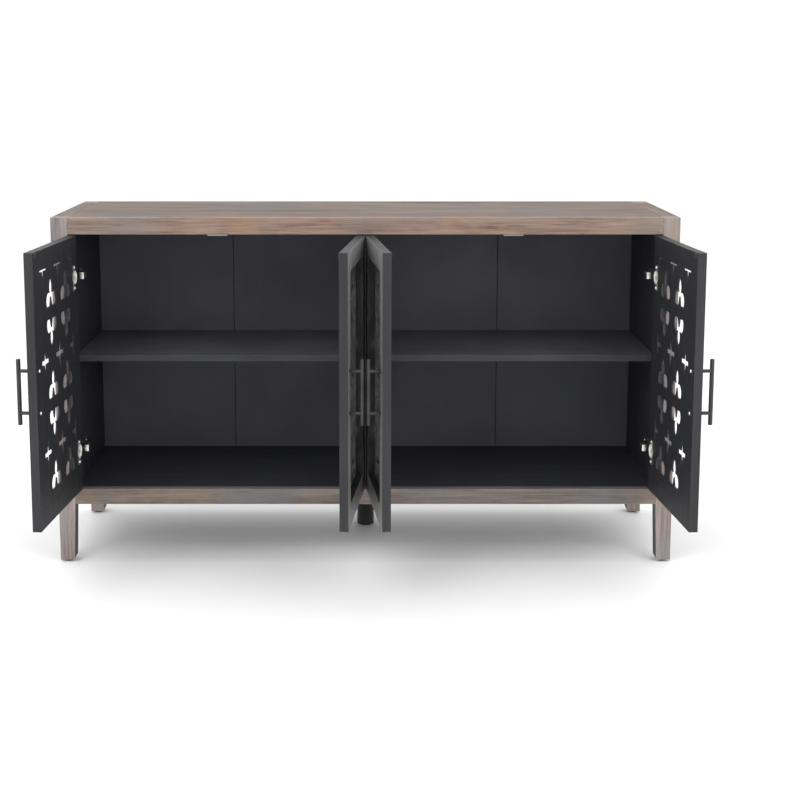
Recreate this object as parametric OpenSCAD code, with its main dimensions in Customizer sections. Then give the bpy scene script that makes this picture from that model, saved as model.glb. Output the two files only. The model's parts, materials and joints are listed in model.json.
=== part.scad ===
// Four-door sideboard: post-and-rail case on tall legs, two bays with a shelf each,
// and four inset doors with fretwork panels. Millimetres, +Z up, the doors face -Y.
// The origin is the middle of the centre foot's underside, on the floor.

/* [Case] */
// Overall width of the case
body_w = 1524; // [1200:1:1900]
// Overall depth of the case
body_d = 457; // [340:1:600]
// Overall height of the case
body_h = 864; // [700:1:1100]
// Width and depth of each post
post_w = 41; // [34:1:60]
// Width of a leg at its foot
foot_w = 36; // [26:1:50]
// Radius of the inner corner at a leg's foot
foot_corner_r = 7; // [2:1:10]
// Height of the top rails
top_rail_h = 41; // [30:1:60]
// Thickness of the front and rear rails
rail_t = 22; // [16:1:30]
// Height of the floor below the bottom rails
case_z = 149; // [80:1:260]
// Height of the bottom rails
bottom_rail_h = 39; // [30:1:60]
// Thickness of the top panel
top_t = 20; // [15:1:24]
// Thickness of the bottom panel
bottom_t = 18; // [12:1:24]
// Thickness of the side panels
side_t = 25; // [16:1:30]
// Thickness of the centre partition
partition_t = 16; // [15:1:22]
// Thickness of the back panels
back_t = 8; // [4:1:12]
// Distance of the two back panel seams from the middle, as a share of half the opening
seam_share = 0.497; // [0.4:0.001:0.6]
// Width of the battens behind the seams
batten_w = 40; // [30:1:60]

/* [Shelves] */
// Thickness of the shelves
shelf_t = 15; // [12:1:25]
// Distance of a shelf's front edge from the case front
shelf_setback = 60; // [45:1:120]
// Diameter of a shelf pin
pin_d = 5; // [4:0.5:6]
// Length of a shelf pin outside its hole
pin_out = 8; // [6:1:12]
// Depth of a shelf pin in its hole
pin_in = 6; // [4:0.5:7]
// Distance of the pins from a shelf's front and rear edges
pin_edge = 45; // [30:1:80]

/* [Feet] */
// Diameter of the pads under the legs
pad_d = 22; // [16:1:26]
// Height of the pads under the legs
pad_h = 5; // [2:1:10]
// Diameter of the centre foot
centre_foot_d = 45; // [30:1:60]
// Distance of the centre foot behind the case front
centre_foot_y = 327; // [100:1:380]
// Diameter of the plate on top of the centre foot
foot_plate_d = 76; // [64:1:90]
// Thickness of the plate on top of the centre foot
foot_plate_t = 4; // [3:1:6]

/* [Doors] */
// Thickness of the doors
door_t = 20; // [18:1:24]
// Gap between a door and the case
door_gap = 2; // [1.5:0.25:4]
// Gap between the free edges of a pair of doors
pair_gap = 2.5; // [2:0.25:4]
// Gap between the hinge edges of the two middle doors
centre_gap = 3; // [2:0.25:5]
// Distance of the hinge axis outside a door's hinge edge
axis_out = 0.5; // [0.5:0.25:1.5]
// Opening angle of the two outer doors at rest
outer_open = 94.2; // [0:0.1:104]
// Opening angle of the two middle doors at rest
middle_open = 84.1; // [0:0.1:84]
// Width of the stiles and of the bottom door rail
stile_w = 50; // [46:1:70]
// Width of the top door rail
door_top_rail_w = 46; // [40:1:70]

/* [Fretwork] */
// Thickness of the fretwork panel
fret_t = 3; // [2:0.5:6]
// Depth of the rebate that holds the panel's edge
rebate_w = 6; // [4:1:10]
// Clearance around the panel in its rebate
fret_clearance = 0.2; // [0.1:0.1:1]
// Distance from one column of the pattern to the next
fret_pitch = 58; // [50:1:80]
// Height of one repeat of the pattern
fret_period = 212; // [190:1:260]
// Distance of the first column from the hinge edge
fret_first_x = 50; // [30:1:80]
// Distance of the first row of crosses from the door's top
fret_first_v = 45; // [30:1:80]
// Length of a cross's flat bar
cross_bar_l = 60; // [40:1:76]
// Height of a cross's flat bar
cross_bar_h = 11; // [6:1:20]
// Height of a cross's pointed upright
cross_h = 66; // [50:1:80]
// Width of a cross's pointed upright
cross_w = 14; // [10:1:28]
// Overall width of a trefoil
trefoil_w = 76; // [70:1:92]
// Radius of a trefoil's side lobes
lobe_r = 19.5; // [16:0.5:24]
// Height from a trefoil's neck to its flat edge
trefoil_drop = 26.5; // [20:0.5:30]
// Height from a trefoil's neck to its tip
petal_rise = 38; // [26:1:40]
// Width of a trefoil's pointed petal
petal_w = 25; // [20:1:36]
// Distance of a petal's lower point below the neck
petal_root = 6; // [4:1:10]
// Height of the lobes above the neck
lobe_top = 6; // [3:1:9]
// Width of the spur between the lobes
spur_w = 17; // [6:1:20]
// Distance of the spur's tip below the neck
spur_below = 4; // [3:1:8]
// Distance of a trefoil's neck from the line between it and its mirror image
neck_from_mirror = 41; // [36:1:46]

/* [Handles] */
// Length of a handle bar
handle_l = 150; // [110:1:200]
// Diameter of a handle bar
handle_d = 10; // [8:1:14]
// Distance between a handle's posts
handle_spacing = 96; // [64:32:160]
// Diameter of a handle's posts
handle_post_d = 8; // [7:0.5:10]
// Distance of the bar's middle from the door's face
handle_out = 28; // [24:1:29]
// Distance of the bar from the door's free edge
handle_inset = 26; // [20:1:34]
// Diameter of a handle screw
handle_screw_d = 4; // [3:0.5:5]
// Diameter of a handle screw's head
screw_head_d = 8; // [7:0.5:9]

/* [Hinges] */
// Diameter of a hinge cup
cup_d = 35; // [34:1:36]
// Depth of a hinge cup in the door
cup_depth = 11.5; // [11:0.5:13]
// Distance of a cup's middle from the hinge edge
cup_inset = 21.75; // [21:0.25:23]
// Thickness of a cup's wall, floor and flange
cup_wall = 1; // [0.8:0.1:1.2]
// Length of a cup's flange
flange_l = 62; // [56:1:70]
// Distance of the hinges from the door's ends
hinge_end = 100; // [70:1:140]
// Height of a hinge arm
arm_h = 16; // [12:1:16]

/* [Catches] */
// Width of a magnetic catch
catch_w = 48; // [40:1:60]
// Depth of a magnetic catch
catch_d = 15; // [12:1:20]
// How far a catch shows below the top rail
catch_drop = 6; // [5:1:10]
// Width of a door's strike plate
strike_w = 18; // [14:1:22]
// Height of a door's strike plate
strike_h = 12; // [10:1:20]
// Thickness of a door's strike plate
strike_t = 1.5; // [1:0.25:1.75]

/* [Hidden] */
$fn = 48;
WOOD = [0.63, 0.58, 0.53];
CHARCOAL = [0.15, 0.15, 0.17];
PALE = [0.72, 0.71, 0.69];
NICKEL = [0.75, 0.74, 0.72];
BLACK = [0.07, 0.07, 0.08];
CATCH = [0.66, 0.69, 0.66];

front_y = -centre_foot_y;
back_y = front_y + body_d;
half_w = body_w / 2;
open_half = half_w - post_w;              // half the width between the posts
opening_z = case_z + bottom_rail_h;       // top of the bottom rails and panel
opening_top = body_h - top_rail_h;        // underside of the top rails
top_under = body_h - top_t;               // underside of the top panel
back_face_y = back_y - rail_t - back_t;   // front face of the back panels
side_len = body_d - 2 * post_w;           // length between front and rear posts
seam_x = seam_share * open_half;
seam_gap = 1.5;

door_h = opening_top - opening_z - 2 * door_gap;
door_z = opening_z + door_gap;
hinge_gap = 1.5;                          // gap between an outer door and its post
door_w = (open_half - hinge_gap - pair_gap - centre_gap / 2) / 2;
outer_axis_x = open_half - hinge_gap + axis_out;
middle_axis_x = centre_gap / 2 - axis_out;
pair_x = open_half - hinge_gap - door_w - pair_gap / 2;

shelf_lift = 1;                           // a shelf's height above the middle of its bay
shelf_z = (opening_z + opening_top - shelf_t) / 2 + shelf_lift;
shelf_gap = 1;
shelf_back_y = back_face_y - shelf_gap;
pin_r = pin_d / 2;
pin_clearance = 0.1;
pin_z = shelf_z - pin_r;
pin_ys = [front_y + shelf_setback + pin_edge, shelf_back_y - pin_edge];

partition_gap = 2;                        // gap between the shut doors and the partition
partition_y = front_y + door_t + partition_gap;
catch_gap = 0.5;                          // gap between a strike plate and its catch
catch_y = front_y + max(rail_t, door_t + strike_t + catch_gap);
window_w = door_w - 2 * stile_w;
window_h = door_h - stile_w - door_top_rail_w;
fret_z = door_t - fret_t;                 // depth of the rebate's floor from the outer face
handle_x = door_w - handle_inset;
handle_zs = [door_h / 2 - handle_spacing / 2, door_h / 2 + handle_spacing / 2];
screw_clearance = 0.15;
screw_in_post = 8;
head_h = 2.2;
hinge_zs = [hinge_end, door_h - hinge_end];
bore_clearance = 0.1;
nose_near = 21;                           // the nose's sides, from the hinge axis
nose_far = 34;
nose_gap = 1;                             // gap between the nose's tip and the cup's floor
nose_y = door_t - cup_depth + cup_wall + nose_gap;
over = 1;                                 // how far a cutter passes the face it opens
arm_t = 10;
plate_t = 4;
plate_y = 70;                             // middle of a mounting plate, behind the case front

// Helpers

// A box from its lowest to its highest corner.
module span(low, high) {
    translate(low) cube(high - low);
}

// Children as drawn on the left, or mirrored to the right.
module on_side(side) {
    if (side < 0) children();
    else mirror([1, 0, 0]) children();
}

// A cylinder along +Y from its start.
module rod_y(r, h) {
    rotate([-90, 0, 0]) cylinder(r = r, h = h);
}

// A pointed oval of the given width and height, centred.
module pointed_oval(w, h) {
    r = (h * h + w * w) / (4 * w);
    intersection() {
        translate([r - w / 2, 0]) circle(r = r);
        translate([w / 2 - r, 0]) circle(r = r);
    }
}

// Case frame

// Outline of a left-hand post from its outer face, with a tapered leg.
module post_outline() {
    corner = [for (a = [-90 : 15 : 0])
        [foot_w - foot_corner_r + foot_corner_r * cos(a), pad_h + foot_corner_r + foot_corner_r * sin(a)]];
    polygon(concat([[0, pad_h]], corner, [[post_w, case_z], [post_w, body_h], [0, body_h]]));
}

module post(side, y) {
    color(WOOD) on_side(side) translate([-half_w, y + post_w, 0])
        rotate([90, 0, 0]) linear_extrude(post_w) post_outline();
}

module front_left_post() { post(-1, front_y); }
module front_right_post() { post(1, front_y); }
module rear_left_post() { post(-1, back_y - post_w); }
module rear_right_post() { post(1, back_y - post_w); }

module cross_rail(y, z, h) {
    color(WOOD) span([-open_half, y, z], [open_half, y + rail_t, z + h]);
}

module top_front_rail() { cross_rail(front_y, opening_top, top_rail_h); }
module top_rear_rail() { cross_rail(back_y - rail_t, opening_top, top_rail_h); }
module bottom_front_rail() { cross_rail(front_y, case_z, bottom_rail_h); }
module bottom_rear_rail() { cross_rail(back_y - rail_t, case_z, bottom_rail_h); }

module end_rail(side, z, h) {
    color(WOOD) on_side(side)
        span([-half_w, front_y + post_w, z], [-open_half, front_y + post_w + side_len, z + h]);
}

module top_left_rail() { end_rail(-1, opening_top, top_rail_h); }
module top_right_rail() { end_rail(1, opening_top, top_rail_h); }
module bottom_left_rail() { end_rail(-1, case_z, bottom_rail_h); }
module bottom_right_rail() { end_rail(1, case_z, bottom_rail_h); }

// Case boards

module top_panel() {
    color(WOOD) span([-open_half, front_y + rail_t, top_under], [open_half, back_y - rail_t, body_h]);
}

module bottom_panel() {
    color(CHARCOAL)
        span([-open_half, front_y + rail_t, opening_z - bottom_t], [open_half, back_y - rail_t, opening_z]);
}

// Holes for a shelf's pins, drilled towards -X from the face at x.
module pin_holes(x) {
    for (y = pin_ys) translate([x, y, pin_z]) rotate([0, -90, 0])
        cylinder(r = pin_r + pin_clearance, h = pin_in + pin_clearance);
}

module side_panel(side) {
    color(CHARCOAL) on_side(side) difference() {
        span([-open_half - side_t, front_y + post_w, opening_z],
             [-open_half, front_y + post_w + side_len, opening_top]);
        pin_holes(-open_half);
    }
}

module left_side_panel() { side_panel(-1); }
module right_side_panel() { side_panel(1); }

module centre_partition() {
    color(CHARCOAL) difference() {
        span([-partition_t / 2, partition_y, opening_z], [partition_t / 2, back_face_y, top_under]);
        pin_holes(partition_t / 2);
        mirror([1, 0, 0]) pin_holes(partition_t / 2);
    }
}

module shelf(side) {
    color(CHARCOAL) on_side(side)
        span([-open_half + shelf_gap, front_y + shelf_setback, shelf_z],
             [-partition_t / 2 - shelf_gap, shelf_back_y, shelf_z + shelf_t]);
}

module left_shelf() { shelf(-1); }
module right_shelf() { shelf(1); }

module shelf_pins() {
    color(NICKEL) for (side = [-1, 1], y = pin_ys) on_side(side) {
        translate([-open_half - pin_in, y, pin_z]) rotate([0, 90, 0])
            cylinder(r = pin_r, h = pin_in + pin_out);
        translate([-partition_t / 2 - pin_out, y, pin_z]) rotate([0, 90, 0])
            cylinder(r = pin_r, h = pin_in + pin_out);
    }
}

module back_panel(x0, x1) {
    color(CHARCOAL) span([x0, back_face_y, opening_z], [x1, back_face_y + back_t, top_under]);
}

module back_panel_left() { back_panel(-open_half, -seam_x - seam_gap / 2); }
module back_panel_centre() { back_panel(-seam_x + seam_gap / 2, seam_x - seam_gap / 2); }
module back_panel_right() { back_panel(seam_x + seam_gap / 2, open_half); }

module back_battens() {
    color(CHARCOAL) for (x = [-seam_x, seam_x])
        span([x - batten_w / 2, back_face_y + back_t, opening_z], [x + batten_w / 2, back_y, opening_top]);
}

// Screw heads on the back: through the centre panel into the partition, and on each batten.
module back_screws() {
    rows = 5;
    step = (opening_top - opening_z) / rows;
    color(NICKEL) for (i = [0 : rows - 1]) {
        z = opening_z + step * (i + 0.5);
        translate([0, back_face_y + back_t, z]) rod_y(screw_head_d / 2, head_h);
        for (x = [-seam_x, seam_x], dx = [-batten_w / 4, batten_w / 4])
            translate([x + dx, back_y, z]) mirror([0, 1, 0]) translate([0, -head_h / 2, 0])
                rod_y(screw_head_d / 2, head_h / 2);
    }
}

// Catches

// A magnet housing on a packing block, behind the top front rail where a pair of doors meets.
module catch(side) {
    color(CATCH) on_side(side)
        span([-pair_x - catch_w / 2, catch_y, opening_top - catch_drop],
             [-pair_x + catch_w / 2, catch_y + catch_d, top_under]);
}

module left_catch() { catch(-1); }
module right_catch() { catch(1); }

// Hinge hardware on the case

// Children placed at each hinge on a case face. wall is that face's distance from the hinge axis.
module at_case_hinges() {
    for (side = [-1, 1], z = hinge_zs) on_side(side) {
        translate([-outer_axis_x, front_y, door_z + z]) { $wall = -hinge_gap + axis_out; children(); }
        translate([-middle_axis_x, front_y, door_z + z]) mirror([1, 0, 0]) {
            $wall = partition_t / 2 - middle_axis_x;
            children();
        }
    }
}

// A cranked arm: its nose reaches into the cup when the door is shut.
module hinge_arm(wall) {
    near = wall + plate_t;
    far = near + arm_t;
    tail_y = 100;
    far_bend = [42, 62];                  // where the outer side starts and ends its slope
    near_bend = [36, 52];
    rear_screw = 9;                       // from the tail to the rear screw
    screw_r = 3.4;
    screw_h = 1;
    outline = [
        [nose_near, nose_y], [nose_far, nose_y], [nose_far, far_bend[0]], [far, far_bend[1]],
        [far, tail_y], [near, tail_y], [near, near_bend[1]], [nose_near, near_bend[0]],
    ];
    translate([0, 0, -arm_h / 2]) linear_extrude(arm_h) polygon(outline);
    for (y = [plate_y, tail_y - rear_screw]) translate([far, y, 0]) rotate([0, 90, 0])
        cylinder(r = screw_r, h = screw_h);
}

// A cross-shaped mounting plate with a screw at each end.
module hinge_plate(wall) {
    plate_l = 36;
    wing_l = 50;
    wing_w = 14;
    screw_z = 18;
    span([wall, plate_y - plate_l / 2, -arm_h / 2], [wall + plate_t, plate_y + plate_l / 2, arm_h / 2]);
    span([wall, plate_y - wing_w / 2, -wing_l / 2], [wall + plate_t, plate_y + wing_w / 2, wing_l / 2]);
    for (z = [-screw_z, screw_z]) translate([wall + plate_t, plate_y, z]) rotate([0, 90, 0])
        cylinder(r = screw_head_d / 2, h = head_h / 2);
}

module hinge_arms() { color(NICKEL) at_case_hinges() hinge_arm($wall); }
module hinge_plates() { color(NICKEL) at_case_hinges() hinge_plate($wall); }

// Feet

module foot_pads() {
    color(BLACK) for (side = [-1, 1], y = [front_y + post_w / 2, back_y - post_w / 2]) on_side(side)
        translate([-half_w + foot_w / 2, y, 0]) cylinder(r = pad_d / 2, h = pad_h);
}

module centre_foot() {
    foot_h = opening_z - bottom_t;
    color(BLACK) {
        cylinder(r = centre_foot_d / 2, h = foot_h);
        translate([0, 0, foot_h - foot_plate_t]) cylinder(r = foot_plate_d / 2, h = foot_plate_t);
    }
}

// Doors. Drawn shut, from the lower corner of the hinge edge: +X to the free edge,
// y = 0 on the outer face and y = door_t on the inner face.

module hung(axis_x, hand, angle) {
    translate([axis_x, front_y, door_z]) rotate([0, 0, -hand * angle]) on_side(-hand)
        translate([axis_out, 0, 0]) children();
}

module left_outer() { hung(-outer_axis_x, 1, outer_open) children(); }
module left_inner() { hung(-middle_axis_x, -1, middle_open) children(); }
module right_inner() { hung(middle_axis_x, 1, middle_open) children(); }
module right_outer() { hung(outer_axis_x, -1, outer_open) children(); }

// The recess in the inner side that takes the fretwork panel.
module rebate() {
    span([stile_w - rebate_w, fret_z, stile_w - rebate_w],
         [stile_w + window_w + rebate_w, door_t + over, stile_w + window_h + rebate_w]);
}

module stiles() {
    color(CHARCOAL) difference() {
        union() {
            cube([stile_w, door_t, door_h]);
            translate([door_w - stile_w, 0, 0]) cube([stile_w, door_t, door_h]);
        }
        rebate();
        for (z = hinge_zs) translate([cup_inset, door_t - cup_depth - bore_clearance, z])
            rod_y(cup_d / 2 + bore_clearance, cup_depth + bore_clearance + over);
        for (z = handle_zs) translate([handle_x, -over, z])
            rod_y(handle_screw_d / 2 + screw_clearance, door_t + 2 * over);
    }
}

module rails() {
    color(CHARCOAL) difference() {
        union() {
            translate([stile_w, 0, 0]) cube([window_w, door_t, stile_w]);
            translate([stile_w, 0, stile_w + window_h]) cube([window_w, door_t, door_top_rail_w]);
        }
        rebate();
    }
}

module fret_cross() {
    square([cross_bar_l, cross_bar_h], center = true);
    pointed_oval(cross_w, cross_h);
}

// A pointed petal over two side lobes with a flat edge below. The neck is at the origin.
module fret_trefoil() {
    lobe_x = trefoil_w / 2 - lobe_r;
    lobe_y = lobe_top - lobe_r;
    petal_h = petal_rise + petal_root;
    translate([0, petal_rise - petal_h / 2]) pointed_oval(petal_w, petal_h);
    difference() {
        for (s = [-1, 1]) translate([s * lobe_x, lobe_y]) circle(r = lobe_r);
        translate([-trefoil_w, -trefoil_drop - trefoil_w]) square([2 * trefoil_w, trefoil_w]);
        polygon([[-spur_w / 2, -trefoil_drop - over], [spur_w / 2, -trefoil_drop - over], [0, -spur_below]]);
    }
}

// Every hole of the pattern that falls in the window, seen from the outer side.
module fret_holes() {
    last_x = stile_w + window_w;
    columns = floor((last_x - fret_first_x) / fret_pitch);
    rows = floor((door_h - fret_first_v) / fret_period);
    neck = fret_period / 2 - neck_from_mirror;
    intersection() {
        translate([stile_w, stile_w]) square([window_w, window_h]);
        for (c = [0 : columns], r = [0 : rows]) {
            top = door_h - fret_first_v - r * fret_period;
            translate([fret_first_x + c * fret_pitch, top]) {
                if (c % 2 == 0) fret_cross();
                else {
                    translate([0, -neck]) fret_trefoil();
                    translate([0, neck - fret_period]) mirror([0, 1]) fret_trefoil();
                }
            }
        }
    }
}

module fret() {
    low = stile_w - rebate_w + fret_clearance;
    color(CHARCOAL) translate([0, door_t, 0]) rotate([90, 0, 0]) linear_extrude(fret_t) difference() {
        translate([low, low])
            square([window_w + 2 * (rebate_w - fret_clearance), window_h + 2 * (rebate_w - fret_clearance)]);
        fret_holes();
    }
}

module handle() {
    color(BLACK) difference() {
        union() {
            translate([handle_x, -handle_out, door_h / 2 - handle_l / 2])
                cylinder(r = handle_d / 2, h = handle_l);
            for (z = handle_zs) translate([handle_x, -handle_out, z]) rod_y(handle_post_d / 2, handle_out);
        }
        for (z = handle_zs) translate([handle_x, -screw_in_post - over, z])
            rod_y(handle_screw_d / 2 + screw_clearance, screw_in_post + 2 * over);
    }
}

module handle_screws() {
    color(NICKEL) for (z = handle_zs) translate([handle_x, -screw_in_post, z]) {
        rod_y(handle_screw_d / 2, screw_in_post + door_t);
        translate([0, screw_in_post + door_t, 0]) rod_y(screw_head_d / 2, head_h);
    }
}

// A hollow cup with a flange on the inner face and a screw at each end of the flange.
module hinge_cups() {
    flange_w = 18;
    flange_x = 4;                         // middle of the flange, from the middle of the cup
    ring_r = cup_d / 2 + 0.5;
    screw_dz = 25;
    flange_head_h = 1.2;
    color(NICKEL) for (z = hinge_zs) translate([cup_inset, door_t, z]) {
        difference() {
            union() {
                translate([0, -cup_depth, 0]) rod_y(cup_d / 2, cup_depth);
                rod_y(ring_r, cup_wall);
                translate([flange_x - flange_w / 2, 0, -flange_l / 2]) cube([flange_w, cup_wall, flange_l]);
            }
            translate([0, cup_wall - cup_depth, 0]) rod_y(cup_d / 2 - cup_wall, cup_depth + over);
        }
        for (dz = [-screw_dz, screw_dz]) translate([flange_x, cup_wall, dz])
            rod_y(screw_head_d / 2, flange_head_h);
    }
}

module strike() {
    from_edge = 4;
    from_top = 1;
    color(NICKEL) translate([door_w - from_edge - strike_w, door_t, door_h - strike_h - from_top])
        cube([strike_w, strike_t, strike_h]);
}

front_left_post();
front_right_post();
rear_left_post();
rear_right_post();
top_panel();
top_front_rail();
top_rear_rail();
top_left_rail();
top_right_rail();
bottom_front_rail();
bottom_rear_rail();
bottom_left_rail();
bottom_right_rail();
left_side_panel();
right_side_panel();
bottom_panel();
centre_partition();
left_shelf();
right_shelf();
shelf_pins();
back_panel_left();
back_panel_centre();
back_panel_right();
back_battens();
back_screws();
left_catch();
right_catch();
hinge_arms();
hinge_plates();
foot_pads();
centre_foot();
left_outer() stiles();  // left_outer_stiles
left_outer() rails();  // left_outer_rails
left_outer() fret();  // left_outer_fret
left_outer() handle();  // left_outer_handle
left_outer() handle_screws();  // left_outer_handle_screws
left_outer() hinge_cups();  // left_outer_hinge_cups
left_outer() strike();  // left_outer_strike
left_inner() stiles();  // left_inner_stiles
left_inner() rails();  // left_inner_rails
left_inner() fret();  // left_inner_fret
left_inner() handle();  // left_inner_handle
left_inner() handle_screws();  // left_inner_handle_screws
left_inner() hinge_cups();  // left_inner_hinge_cups
left_inner() strike();  // left_inner_strike
right_inner() stiles();  // right_inner_stiles
right_inner() rails();  // right_inner_rails
right_inner() fret();  // right_inner_fret
right_inner() handle();  // right_inner_handle
right_inner() handle_screws();  // right_inner_handle_screws
right_inner() hinge_cups();  // right_inner_hinge_cups
right_inner() strike();  // right_inner_strike
right_outer() stiles();  // right_outer_stiles
right_outer() rails();  // right_outer_rails
right_outer() fret();  // right_outer_fret
right_outer() handle();  // right_outer_handle
right_outer() handle_screws();  // right_outer_handle_screws
right_outer() hinge_cups();  // right_outer_hinge_cups
right_outer() strike();  // right_outer_strike
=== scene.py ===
import json
import math

import bmesh
import bpy
import numpy as np
from mathutils import Matrix, Vector


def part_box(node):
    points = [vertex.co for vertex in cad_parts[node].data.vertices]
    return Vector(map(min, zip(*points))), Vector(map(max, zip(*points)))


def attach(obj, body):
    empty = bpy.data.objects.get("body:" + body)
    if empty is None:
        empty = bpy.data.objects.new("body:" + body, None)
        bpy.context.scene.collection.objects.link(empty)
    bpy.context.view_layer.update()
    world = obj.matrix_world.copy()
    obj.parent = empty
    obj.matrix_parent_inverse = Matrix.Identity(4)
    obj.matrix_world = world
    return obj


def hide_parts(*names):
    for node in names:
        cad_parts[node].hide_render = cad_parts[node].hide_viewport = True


# The sideboard's visual: case boards, doors, fretwork, metalwork, then floor, light and camera.
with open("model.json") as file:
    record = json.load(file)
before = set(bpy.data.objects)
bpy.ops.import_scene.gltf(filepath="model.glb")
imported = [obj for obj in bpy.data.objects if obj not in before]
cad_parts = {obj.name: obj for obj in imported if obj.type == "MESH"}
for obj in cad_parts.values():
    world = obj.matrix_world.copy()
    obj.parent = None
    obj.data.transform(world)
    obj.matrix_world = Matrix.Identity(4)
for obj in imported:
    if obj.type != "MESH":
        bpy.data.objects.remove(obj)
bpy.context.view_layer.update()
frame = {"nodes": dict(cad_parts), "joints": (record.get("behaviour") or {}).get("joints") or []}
nodes = frame["nodes"]
scene = bpy.context.scene
print("stage: frame loaded,", len(nodes), "nodes")

mm = 0.001
doorNames = ["left_outer", "left_inner", "right_inner", "right_outer"]
doorSettings = dict(thickness=20 * mm, axisOut=0.5 * mm, hingeEnd=100 * mm, frameEdge=0.8 * mm, fretEdge=0.25 * mm)


def addNode(tree, kind, **settings):
    node = tree.nodes.new(kind)
    for key, value in settings.items():
        setattr(node, key, value)
    return node


def join(tree, source, target):
    tree.links.new(source, target)


def newGroup(name, inputs, outputs):
    group = bpy.data.node_groups.new(name, "ShaderNodeTree")
    for label, kind, value in inputs:
        socket = group.interface.new_socket(label, in_out="INPUT", socket_type=kind)
        if value is not None:
            socket.default_value = value
    for label, kind in outputs:
        group.interface.new_socket(label, in_out="OUTPUT", socket_type=kind)
    return group, addNode(group, "NodeGroupInput"), addNode(group, "NodeGroupOutput")


def placeGroup(tree, group, **values):
    node = addNode(tree, "ShaderNodeGroup", node_tree=group)
    for label, value in values.items():
        node.inputs[label].default_value = value
    return node


# Noise on a vector that is stretched by three factors.
def noiseBand(tree, vector, stretch, detail, roughness, distortion=0.0):
    scaled = addNode(tree, "ShaderNodeVectorMath", operation="MULTIPLY")
    scaled.inputs[1].default_value = stretch
    join(tree, vector, scaled.inputs[0])
    noise = addNode(tree, "ShaderNodeTexNoise")
    noise.inputs["Scale"].default_value = 1.0
    noise.inputs["Detail"].default_value = detail
    noise.inputs["Roughness"].default_value = roughness
    noise.inputs["Distortion"].default_value = distortion
    join(tree, scaled.outputs[0], noise.inputs["Vector"])
    return noise.outputs["Fac"]


def remap(tree, value, low, high, outLow=0.0, outHigh=1.0):
    node = addNode(tree, "ShaderNodeMapRange")
    join(tree, value, node.inputs["Value"])
    for label, number in (("From Min", low), ("From Max", high), ("To Min", outLow), ("To Max", outHigh)):
        node.inputs[label].default_value = number
    return node.outputs["Result"]


# Mixes two colours; each is a socket or a plain colour.
def mixColour(tree, amount, first, second):
    node = addNode(tree, "ShaderNodeMix", data_type="RGBA")
    if isinstance(amount, float):
        node.inputs[0].default_value = amount
    else:
        join(tree, amount, node.inputs[0])
    for socket, colour in ((node.inputs[6], first), (node.inputs[7], second)):
        if isinstance(colour, bpy.types.NodeSocket):
            join(tree, colour, socket)
        else:
            socket.default_value = (*colour, 1.0)
    return node.outputs[2]


def arithmetic(tree, operation, first, second):
    node = addNode(tree, "ShaderNodeMath", operation=operation)
    for socket, value in zip(node.inputs, (first, second)):
        if isinstance(value, bpy.types.NodeSocket):
            join(tree, value, socket)
        else:
            socket.default_value = value
    return node.outputs[0]


# Wood grain along X of the incoming vector: fine lines, streaks, patches and open pores.
def makeGrainGroup():
    group, groupIn, groupOut = newGroup(
        "boardGrain",
        [("Vector", "NodeSocketVector", None), ("Scale", "NodeSocketFloat", 1.0)],
        [(label, "NodeSocketFloat") for label in ("Fine", "Streak", "Patch", "Pore", "Height")],
    )
    sized = addNode(group, "ShaderNodeVectorMath", operation="SCALE")
    join(group, groupIn.outputs["Vector"], sized.inputs[0])
    join(group, groupIn.outputs["Scale"], sized.inputs["Scale"])
    vector = sized.outputs[0]
    fine = noiseBand(group, vector, (7, 210, 210), 7, 0.62, 0.35)
    streak = remap(group, noiseBand(group, vector, (1.7, 30, 30), 5, 0.55, 0.5), 0.36, 0.66)
    patch = remap(group, noiseBand(group, vector, (3.4, 11, 11), 4, 0.6, 0.8), 0.38, 0.64)
    pore = remap(group, noiseBand(group, vector, (16, 620, 620), 3, 0.5), 0.56, 0.72)
    height = arithmetic(group, "SUBTRACT", fine, arithmetic(group, "MULTIPLY", pore, 0.7))
    for label, socket in (("Fine", fine), ("Streak", streak), ("Patch", patch), ("Pore", pore), ("Height", height)):
        join(group, socket, groupOut.inputs[label])
    return group


# Where an edge has rubbed, and on the outer door faces where a painted edge highlight goes: the mesh's own attribute on
# its bevel faces, broken up by noise.
def makeWearGroup():
    group, groupIn, groupOut = newGroup(
        "edgeWear",
        [("Vector", "NodeSocketVector", None), ("Amount", "NodeSocketFloat", 0.6)],
        [("Mask", "NodeSocketFloat")],
    )
    wear = addNode(group, "ShaderNodeAttribute", attribute_name="wear")
    broken = remap(group, noiseBand(group, groupIn.outputs["Vector"], (55, 55, 55), 4, 0.6), 0.38, 0.62)
    mask = arithmetic(group, "MULTIPLY", arithmetic(group, "MULTIPLY", wear.outputs["Fac"], broken),
                      groupIn.outputs["Amount"])
    join(group, mask, groupOut.inputs["Mask"])
    return group


# Soft unevenness of paint, plastic or plated metal, and a fine surface texture.
def makeMottleGroup():
    group, groupIn, groupOut = newGroup(
        "surfaceMottle",
        [("Vector", "NodeSocketVector", None), ("Cloud Scale", "NodeSocketFloat", 9.0),
         ("Fine Scale", "NodeSocketFloat", 900.0)],
        [("Cloud", "NodeSocketFloat"), ("Fine", "NodeSocketFloat")],
    )
    for label in ("Cloud", "Fine"):
        noise = addNode(group, "ShaderNodeTexNoise")
        noise.inputs["Detail"].default_value = 4.0
        join(group, groupIn.outputs["Vector"], noise.inputs["Vector"])
        join(group, groupIn.outputs[label + " Scale"], noise.inputs["Scale"])
        join(group, noise.outputs["Fac"], groupOut.inputs[label])
    return group


grainGroup = makeGrainGroup()
wearAndHighlightGroup = makeWearGroup()
mottleGroup = makeMottleGroup()


def startMaterial(name, **shaderValues):
    material = bpy.data.materials.new(name)
    material.use_nodes = True
    tree = material.node_tree
    shader = tree.nodes["Principled BSDF"]
    for label, value in shaderValues.items():
        shader.inputs[label].default_value = value
    return material, tree, shader, addNode(tree, "ShaderNodeTexCoord").outputs["Object"]


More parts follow.
